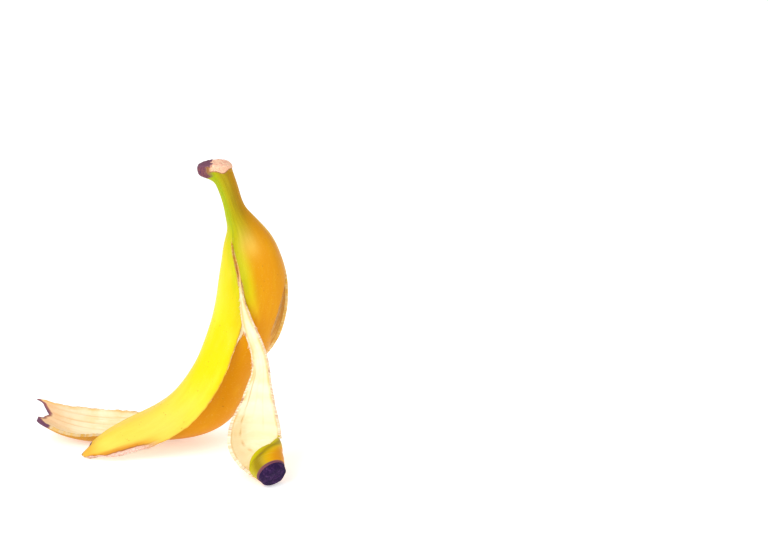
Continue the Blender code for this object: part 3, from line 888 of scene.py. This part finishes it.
class Graph:
    """A material and the nodes in it."""

    def __init__(self, name):
        self.material = bpy.data.materials.new(name)
        self.material.use_nodes = True
        self.tree = self.material.node_tree
        self.shader = self.tree.nodes["Principled BSDF"]

    def node(self, kind, settings, inputs):
        """Makes a node: its type, then its settings, then its inputs."""
        made = self.tree.nodes.new(kind)
        for key, value in settings.items():
            setattr(made, key, value)
        for key, value in inputs.items():
            self.set(made.inputs[key], value)
        return Node(self, made)

    def set(self, socket, value):
        if isinstance(value, Value):
            self.tree.links.new(value.socket, socket)
        else:
            socket.default_value = value

    def number(self, value):
        return self.node("ShaderNodeMath", {"operation": "ADD"}, {0: value, 1: 0.0}).out(0)

    def mark(self, name, output="Fac"):
        """A mask that the mesh carries."""
        return self.node("ShaderNodeAttribute", {"attribute_name": name}, {}).out(output)

    def scaled(self, vector, amounts):
        inputs = {0: vector, 1: amounts}
        return self.node("ShaderNodeVectorMath", {"operation": "MULTIPLY"}, inputs).out(0)

    def grain(self, vector, scale, detail=3.0, rough=0.55):
        inputs = {"Vector": vector, "Scale": scale, "Detail": detail, "Roughness": rough}
        return self.node("ShaderNodeTexNoise", {}, inputs).out(0)

    def cells(self, vector, scale):
        return self.node("ShaderNodeTexVoronoi", {}, {"Vector": vector, "Scale": scale}).out("Distance")

    def mix(self, first, second, share):
        settings = {"data_type": "RGBA", "clamp_factor": True}
        return self.node("ShaderNodeMix", settings, {0: share, 6: first, 7: second}).out(2)

    def bump(self, height, distance, strength):
        inputs = {"Height": height, "Distance": distance, "Strength": strength}
        return self.node("ShaderNodeBump", {}, inputs).out("Normal")

    def finish(self, **inputs):
        """Sets the shader's own inputs and gives the material."""
        for name, value in inputs.items():
            self.set(self.shader.inputs[name.replace("_", " ")], value)
        return self.material


def tint(red, green, blue):
    """A shader colour from the numbers 0 to 255 of a screen colour."""
    parts = [v / 255 for v in (red, green, blue)]
    return [p / 12.92 if p <= 0.04045 else ((p + 0.055) / 1.055) ** 2.4 for p in parts] + [1.0]


# Colours of the skin
# Pale yellow and pale orange: painted highlight below the stem and down the left strip, and the left strip's
# paler skin lower down.
HIGHLIGHT_AND_PALE_YELLOW = tint(250, 224, 104)
HIGHLIGHT_AND_PALE_ORANGE = tint(236, 190, 76)
OLIVE = tint(136, 112, 0)
FLECK = tint(255, 246, 150)
RUBBED_EDGE = tint(202, 140, 60)
OCHRE_BAND = tint(206, 128, 22)
BROWN_LINE = tint(150, 88, 48)
RIND_PINK = tint(248, 214, 196)
RIND_SHADE = tint(206, 146, 128)
SPECK = tint(150, 84, 20)
SCUFF = tint(170, 116, 30)
BRUISE_BROWN = tint(140, 84, 78)
BRUISE_PURPLE = tint(84, 46, 82)
PULP_LIGHT = tint(250, 212, 176)
PULP_DARK = tint(232, 160, 132)
PULP_RIM = tint(140, 82, 30)

# Colours of the pith
PITH_THREAD = tint(255, 250, 226)
PITH_STREAK = tint(238, 206, 138)
CORD_TAN = tint(222, 176, 100)
RIPE_PITH = tint(244, 186, 140)
DRIED_PITH = tint(232, 152, 24)
DRIED_THREAD = tint(250, 204, 112)
PITH_RIM = tint(232, 184, 96)
PITH_BRUISE = tint(150, 92, 96)

# Colours of the torn edges
TORN_LIGHT = tint(255, 244, 214)
TORN_TAN = tint(238, 190, 138)
TORN_BROWN = tint(176, 106, 62)
TORN_DRY = tint(232, 180, 48)
TORN_RIND = tint(170, 104, 84)
TORN_BRUISE = tint(104, 58, 84)

# Colours of the two ends and the floor
STEM_LIGHT = tint(250, 214, 180)
STEM_DARK = tint(232, 164, 138)
STEM_FIBRE = tint(255, 232, 196)
STEM_BROWN = tint(176, 112, 84)
STEM_BRUISE = tint(110, 62, 84)
BLOSSOM_BLACK = tint(34, 8, 58)
BLOSSOM_PURPLE = tint(96, 56, 112)
BLOSSOM_CRUMB = tint(128, 92, 96)
PAPER_LIGHT = tint(250, 250, 250)
PAPER_SHADE = tint(244, 244, 244)
WHITE = tint(255, 255, 255)


def skin_material(look):
    """Waxy yellow skin, green by the stem and orange where it is riper, with painted shade in orange on the
    stem's and body's right side and on the right strip, a painted highlight in pale yellow below the stem and
    down the left strip, specks and bruised ends.
    """
    graph = Graph("banana_skin_outside")
    place = graph.mark("place", "Vector")
    streak = graph.grain(graph.scaled(place, (0.16, 1.0, 1.0)), 5.0, 4.0)
    cloud = graph.grain(graph.scaled(place, (0.5, 1.0, 1.0)), 0.9, 2.0)
    fine = graph.grain(graph.scaled(place, (0.6, 1.0, 1.0)), 26.0, 3.0)
    edge = graph.mark("edge")

    colour = graph.mix(list(look.yellow) + [1.0], list(look.pale_yellow) + [1.0], cloud.ramp(0.42, 0.68))
    # The orange mask is riper skin at the left strip's tip and the tongue's cup, and painted shade on the
    # stem's and body's right side and on the right strip.
    warm = (graph.mark("warm") + (streak - 0.5) * 0.35).held()
    colour = graph.mix(colour, list(look.orange) + [1.0], warm)
    # The pale mask is a painted highlight below the stem and down the left strip's left side, and paler skin
    # on the left strip's lower part.
    pale = (graph.mark("pale") * (0.7 + cloud * 0.6)).held()
    colour = graph.mix(colour, graph.mix(HIGHLIGHT_AND_PALE_YELLOW, HIGHLIGHT_AND_PALE_ORANGE, warm), (pale * 0.75).held())
    green = (graph.mark("green") * (0.75 + streak * 0.5)).held()
    colour = graph.mix(colour, list(look.green) + [1.0], green)
    olive = (graph.mark("olive") * (0.5 + streak * 0.7)).held()
    colour = graph.mix(colour, OLIVE, (olive * 0.9).held())
    colour = graph.mix(colour, FLECK, (fine.ramp(0.55, 0.8) * 0.16).held())
    rubbed = edge.ramp(0.0, 1.1, 1.0, 0.0) * streak.ramp(0.3, 0.6) * (1 - graph.mark("dry"))
    colour = graph.mix(colour, RUBBED_EDGE, (rubbed * 0.6).held())
    rind = graph.mark("rind")
    depth = edge + (cloud - 0.5) * 2.2 + (streak - 0.5) * 1.6
    colour = graph.mix(colour, OCHRE_BAND, (rind * depth.ramp(3.0, 5.4, 1.0, 0.0) * 0.85).held())
    colour = graph.mix(colour, BROWN_LINE, (rind * depth.ramp(2.2, 3.0, 1.0, 0.0) * 0.8).held())
    fringe = graph.mix(RIND_PINK, RIND_SHADE, fine.ramp(0.4, 0.62))
    colour = graph.mix(colour, fringe, (rind * depth.ramp(1.6, 2.3, 1.0, 0.0)).held())

    spots = graph.cells(graph.scaled(place, (0.7, 1.0, 1.0)), 4.6)
    chance = graph.grain(place, 1.3, 1.0).ramp(0.48, 0.62)
    specks = spots.ramp(0.06, 0.16, 1.0, 0.0) * chance
    colour = graph.mix(colour, SPECK, (specks * 0.6).held())
    scuffs = graph.grain(graph.scaled(place, (0.05, 1.0, 1.0)), 16.0, 4.0, 0.7)
    scuffs = scuffs.ramp(0.70, 0.78) * graph.grain(place, 0.8, 1.0).ramp(0.5, 0.65)
    colour = graph.mix(colour, SCUFF, (scuffs * 0.5).held())

    bruise = (graph.mark("bruise") * 1.5 - streak * 0.5 - cloud * 0.1).ramp(0.15, 0.75)
    brown = graph.mix(BRUISE_BROWN, BRUISE_PURPLE, fine.ramp(0.35, 0.65))
    colour = graph.mix(colour, brown, bruise)
    flesh = graph.mark("flesh") * (1 - bruise)
    pulp = graph.mix(PULP_LIGHT, PULP_DARK, fine.ramp(0.35, 0.65))
    colour = graph.mix(colour, pulp, flesh.held())
    rim = (flesh * (1 - flesh) * 3.4 * streak.ramp(0.2, 0.5)).held()
    colour = graph.mix(colour, PULP_RIM, rim)

    gloss = look.skin_roughness + (fine - 0.5) * 0.12 + bruise * 0.25 + flesh * 0.35
    height = fine * 0.5 + streak * 0.5 - specks * 0.6
    return graph.finish(
        Base_Color=colour, Roughness=gloss.held(), Specular_IOR_Level=0.12,
        Normal=graph.bump(height, 0.00025, 0.5),
    )


def pith_material(look):
    """Matt cream pith with cords down its length, pinkish at the strips' ends."""
    graph = Graph("banana_skin_inside")
    place = graph.mark("place", "Vector")
    down = graph.mark("down")
    weave = graph.grain(graph.scaled(place, (0.10, 1.0, 1.0)), 20.0, 4.0, 0.6)
    thread = graph.grain(graph.scaled(place, (0.04, 1.0, 1.0)), 9.0, 3.0, 0.6)
    blots = graph.grain(graph.scaled(place, (0.5, 1.0, 1.0)), 2.2, 3.0)
    cord = (graph.mark("cord") * (0.35 + thread * 1.3)).held()
    colour = graph.mix(list(look.cream) + [1.0], list(look.deep_cream) + [1.0], blots.ramp(0.35, 0.75))
    colour = graph.mix(colour, PITH_THREAD, (weave.ramp(0.5, 0.75) * 0.6).held())
    colour = graph.mix(colour, PITH_STREAK, (thread.ramp(0.56, 0.74) * 0.5).held())
    colour = graph.mix(colour, CORD_TAN, (cord * 0.6).held())
    ripe = (down.ramp(19.0, 23.0) * (0.5 + blots * 0.9)).held()
    colour = graph.mix(colour, RIPE_PITH, (ripe * 0.85).held())
    dried = (graph.mark("dry") * (0.35 + thread * 1.3)).held()
    dried_colour = graph.mix(DRIED_PITH, DRIED_THREAD, thread.ramp(0.45, 0.62))
    colour = graph.mix(colour, dried_colour, dried)
    edge = graph.mark("edge")
    rim = edge.ramp(0.2, 1.9, 1.0, 0.0) * blots.ramp(0.25, 0.6)
    colour = graph.mix(colour, PITH_RIM, (rim * 0.7).held())
    bruise = (graph.mark("bruise") * 1.4 - blots * 0.5).ramp(0.2, 0.9)
    colour = graph.mix(colour, PITH_BRUISE, bruise)
    height = weave * 0.5 + cord * -0.6 + graph.grain(place, 14.0, 3.0) * 0.7
    return graph.finish(
        Base_Color=colour, Roughness=(0.62 + weave * 0.2).held(), Specular_IOR_Level=0.25,
        Normal=graph.bump(height, 0.0004, 0.6),
    )


def torn_material():
    """Fibrous torn flesh, cream where it is fresh and tan or purple-brown where it has dried."""
    graph = Graph("torn_edge")
    place = graph.mark("place", "Vector")
    fibre = graph.grain(graph.scaled(place, (0.5, 1.0, 1.0)), 18.0, 4.0, 0.65)
    dried = graph.grain(graph.scaled(place, (0.7, 1.0, 1.0)), 2.6, 3.0)
    colour = graph.mix(TORN_LIGHT, TORN_TAN, fibre.ramp(0.35, 0.7))
    brown = (dried.ramp(0.52, 0.66) * fibre.ramp(0.3, 0.6) * 0.8).held()
    colour = graph.mix(colour, TORN_BROWN, brown)
    dry = (graph.mark("dry") * (0.3 + fibre * 0.9)).held()
    colour = graph.mix(colour, TORN_DRY, dry)
    rind = (graph.mark("rind") * (fibre * 1.6 - 0.2)).held()
    colour = graph.mix(colour, TORN_RIND, rind)
    bruise = (graph.mark("bruise") * 1.5 - fibre * 0.4).ramp(0.2, 0.8)
    colour = graph.mix(colour, TORN_BRUISE, bruise)
    return graph.finish(
        Base_Color=colour, Roughness=(0.7 + fibre * 0.2).held(), Normal=graph.bump(fibre, 0.0005, 0.8),
    )


def stem_end_material():
    """The torn end of the stem: pinkish flesh with coarse fibres, dark at its left lobe."""
    graph = Graph("stem_end")
    place = graph.node("ShaderNodeTexCoord", {}, {}).out("Object")
    lumps = graph.grain(place, 700.0, 4.0, 0.6)
    fibre = graph.grain(place, 2600.0, 3.0, 0.6)
    colour = graph.mix(STEM_LIGHT, STEM_DARK, lumps.ramp(0.35, 0.65))
    colour = graph.mix(colour, STEM_FIBRE, (fibre.ramp(0.55, 0.75) * 0.6).held())
    colour = graph.mix(colour, STEM_BROWN, (lumps.ramp(0.62, 0.74) * 0.4).held())
    bruise = (graph.mark("bruise") * 1.5 - lumps * 0.5).ramp(0.2, 0.8)
    colour = graph.mix(colour, STEM_BRUISE, bruise)
    height = lumps * 0.6 + fibre * 0.4
    return graph.finish(Base_Color=colour, Roughness=0.78, Normal=graph.bump(height, 0.0006, 0.8))


def blossom_material():
    """The dried blossom end: purple-black, rough and cracked."""
    graph = Graph("blossom_end")
    place = graph.node("ShaderNodeTexCoord", {}, {}).out("Object")
    lumps = graph.grain(place, 420.0, 4.0, 0.6)
    crumb = graph.grain(place, 1900.0, 3.0, 0.65)
    light = (lumps.ramp(0.4, 0.75) * crumb.ramp(0.3, 0.7)).held()
    colour = graph.mix(BLOSSOM_BLACK, BLOSSOM_PURPLE, light)
    colour = graph.mix(colour, BLOSSOM_CRUMB, (crumb.ramp(0.62, 0.78) * 0.5).held())
    height = lumps * 0.6 + crumb * 0.5
    return graph.finish(
        Base_Color=colour, Roughness=0.78, Specular_IOR_Level=0.2, Normal=graph.bump(height, 0.0008, 0.9),
    )


def floor_material():
    """Pale matt paper."""
    graph = Graph("pale_floor")
    place = graph.node("ShaderNodeTexCoord", {}, {}).out("Object")
    tooth = graph.grain(place, 160.0, 3.0)
    colour = graph.mix(PAPER_LIGHT, PAPER_SHADE, tooth)
    return graph.finish(
        Base_Color=colour, Roughness=0.9, Emission_Color=WHITE, Emission_Strength=0.4,
        Normal=graph.bump(tooth, 0.0001, 0.2),
    )


def shown(name, mesh):
    """Puts a mesh into the scene."""
    thing = bpy.data.objects.new(name, mesh)
    bpy.context.scene.collection.objects.link(thing)
    return thing


def aimed(thing, place, target):
    """Puts a lamp or camera into the scene, at a place and turned to a target."""
    thing.location = place
    thing.rotation_euler = (Vector(target) - Vector(place)).to_track_quat("-Z", "Y").to_euler()
    bpy.context.scene.collection.objects.link(thing)


class PeelShape(bpy.types.PropertyGroup):
    """How finely the peel is modelled."""

    step: bpy.props.FloatProperty(
        name="Row step", description="Distance between rows of points down the peel, in millimetres",
        default=0.95, min=0.4, max=5.0,
    )
    detail: bpy.props.FloatProperty(
        name="Relief", description="Strength of dents, cords and ragged edges", default=1.0, min=0.0, max=2.0,
        subtype="FACTOR",
    )
    fibres: bpy.props.IntProperty(
        name="Fibres", description="Number of loose fibres along the torn edges", default=300, min=0,
        max=3000,
    )
    seed: bpy.props.IntProperty(name="Seed", description="Seed of the loose fibres", default=5, min=0)


class PeelLook(bpy.types.PropertyGroup):
    """The main colours of the peel."""

    yellow: bpy.props.FloatVectorProperty(
        name="Yellow", description="Ripe skin", default=tint(248, 216, 2)[:3], subtype="COLOR", min=0, max=1,
    )
    pale_yellow: bpy.props.FloatVectorProperty(
        name="Pale yellow", description="Paler patches of ripe skin", default=tint(250, 222, 40)[:3],
        subtype="COLOR", min=0, max=1,
    )
    # Orange is also painted shade on the stem's and body's right side and on the right strip.
    orange: bpy.props.FloatVectorProperty(
        name="Orange", description="The ripest skin", default=tint(218, 144, 0)[:3], subtype="COLOR",
        min=0, max=1,
    )
    green: bpy.props.FloatVectorProperty(
        name="Green", description="Skin by the stem and along the front tear", default=tint(160, 178, 0)[:3],
        subtype="COLOR", min=0, max=1,
    )
    cream: bpy.props.FloatVectorProperty(
        name="Cream", description="Pith", default=tint(253, 242, 206)[:3], subtype="COLOR", min=0, max=1,
    )
    deep_cream: bpy.props.FloatVectorProperty(
        name="Deep cream", description="Darker patches of pith", default=tint(250, 228, 176)[:3],
        subtype="COLOR", min=0, max=1,
    )
    skin_roughness: bpy.props.FloatProperty(
        name="Skin roughness", description="Roughness of the waxy skin", default=0.42, min=0.0, max=1.0,
        subtype="FACTOR",
    )


class StageLook(bpy.types.PropertyGroup):
    """The camera, the floor and the lights."""

    key: bpy.props.FloatProperty(
        name="Key light", description="The large light at the front left", default=7.5, min=0.0,
        unit="POWER",
    )
    fill: bpy.props.FloatProperty(
        name="Fill light", description="The soft light at the right", default=1.6, min=0.0, unit="POWER",
    )
    sky: bpy.props.FloatProperty(
        name="Surround", description="Strength of the white surround", default=0.72, min=0.0,
    )
    lens: bpy.props.FloatProperty(
        name="Lens", description="Focal length of the camera, in millimetres", default=85.0, min=10.0,
    )
    eye: bpy.props.FloatVectorProperty(
        name="Eye", description="Where the camera is", default=(0.11390, -0.86936, 0.37188),
        subtype="TRANSLATION", unit="LENGTH",
    )
    target: bpy.props.FloatVectorProperty(
        name="Target", description="What the camera points at", default=(0.11390, -0.00675, 0.0916),
        subtype="TRANSLATION", unit="LENGTH",
    )


class PEEL_OT_skin(bpy.types.Operator):
    """Builds the peel with its skin, pith, torn edges and two ends"""

    bl_idname = "peel.skin"
    bl_label = "Build the Peel"

    def execute(self, context):
        shape, look = context.scene.peel_shape, context.scene.peel_look
        grids = Grids()
        for name in STRIPS:
            strip_into(grids, name, shape.step, shape.detail)
        peel = shown("banana_peel", grids.mesh("banana_peel"))
        ends = stem_end_material(), blossom_material()
        for finish in (skin_material(look), pith_material(look), torn_material(), *ends):
            peel.data.materials.append(finish)
        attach(peel, "root")
        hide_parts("peel")
        return {"FINISHED"}


class PEEL_OT_fibres(bpy.types.Operator):
    """Builds the loose fibres along the torn edges"""

    bl_idname = "peel.fibres"
    bl_label = "Build the Loose Fibres"

    def execute(self, context):
        shape = context.scene.peel_shape
        grids = Grids()
        fibres_into(grids, shape.seed, shape.fibres, shape.detail)
        fibres = shown("torn_fibres", grids.mesh("torn_fibres"))
        fibres.data.materials.append(torn_material())
        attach(fibres, "root")
        return {"FINISHED"}


class PEEL_OT_stage(bpy.types.Operator):
    """Builds the pale floor, the lights and the camera"""

    bl_idname = "peel.stage"
    bl_label = "Build the Stage"

    def execute(self, context):
        scene, stage = context.scene, context.scene.peel_stage
        floor = bpy.data.meshes.new("floor")
        corners = [(x * FLOOR_HALF, y * FLOOR_HALF, 0) for x, y in ((-1, -1), (1, -1), (1, 1), (-1, 1))]
        floor.from_pydata(corners, [], [(0, 1, 2, 3)])
        floor = shown("floor", floor)
        floor.data.materials.append(floor_material())
        for name, size, place in LIGHTS:
            light = bpy.data.lights.new(name, "AREA")
            light.energy, light.size = getattr(stage, name), size
            aimed(bpy.data.objects.new(name, light), place, LIT_PLACE)
        world = bpy.data.worlds.new("surround")
        world.use_nodes = True
        background = world.node_tree.nodes["Background"]
        background.inputs["Color"].default_value = WHITE
        background.inputs["Strength"].default_value = stage.sky
        scene.world = world
        camera = bpy.data.cameras.new("camera")
        camera.lens, camera.sensor_width = stage.lens, SENSOR_WIDTH
        camera = bpy.data.objects.new("camera", camera)
        aimed(camera, stage.eye, stage.target)
        scene.camera = camera
        scene.view_settings.view_transform = "Standard"
        return {"FINISHED"}


class PEEL_PT_panel(bpy.types.Panel):
    """The peel's settings and its buttons"""

    bl_label = "Banana Peel"
    bl_space_type = "VIEW_3D"
    bl_region_type = "UI"
    bl_category = "Banana Peel"

    def draw(self, context):
        scene, layout = context.scene, self.layout
        for group, operators in (
            (scene.peel_shape, ("peel.skin", "peel.fibres")),
            (scene.peel_look, ()),
            (scene.peel_stage, ("peel.stage",)),
        ):
            box = layout.box()
            for name in group.__annotations__:
                box.prop(group, name)
            for operator in operators:
                box.operator(operator)


CLASSES = (PeelShape, PeelLook, StageLook, PEEL_OT_skin, PEEL_OT_fibres, PEEL_OT_stage, PEEL_PT_panel)


def register():
    for one in CLASSES:
        bpy.utils.register_class(one)
    bpy.types.Scene.peel_shape = bpy.props.PointerProperty(type=PeelShape)
    bpy.types.Scene.peel_look = bpy.props.PointerProperty(type=PeelLook)
    bpy.types.Scene.peel_stage = bpy.props.PointerProperty(type=StageLook)


def unregister():
    del bpy.types.Scene.peel_stage, bpy.types.Scene.peel_look, bpy.types.Scene.peel_shape
    for one in reversed(CLASSES):
        bpy.utils.unregister_class(one)


def main():
    register()
    bpy.ops.peel.skin()
    bpy.ops.peel.fibres()
    bpy.ops.peel.stage()
    bpy.context.view_layer.update()


if __name__ == "__main__":
    main()
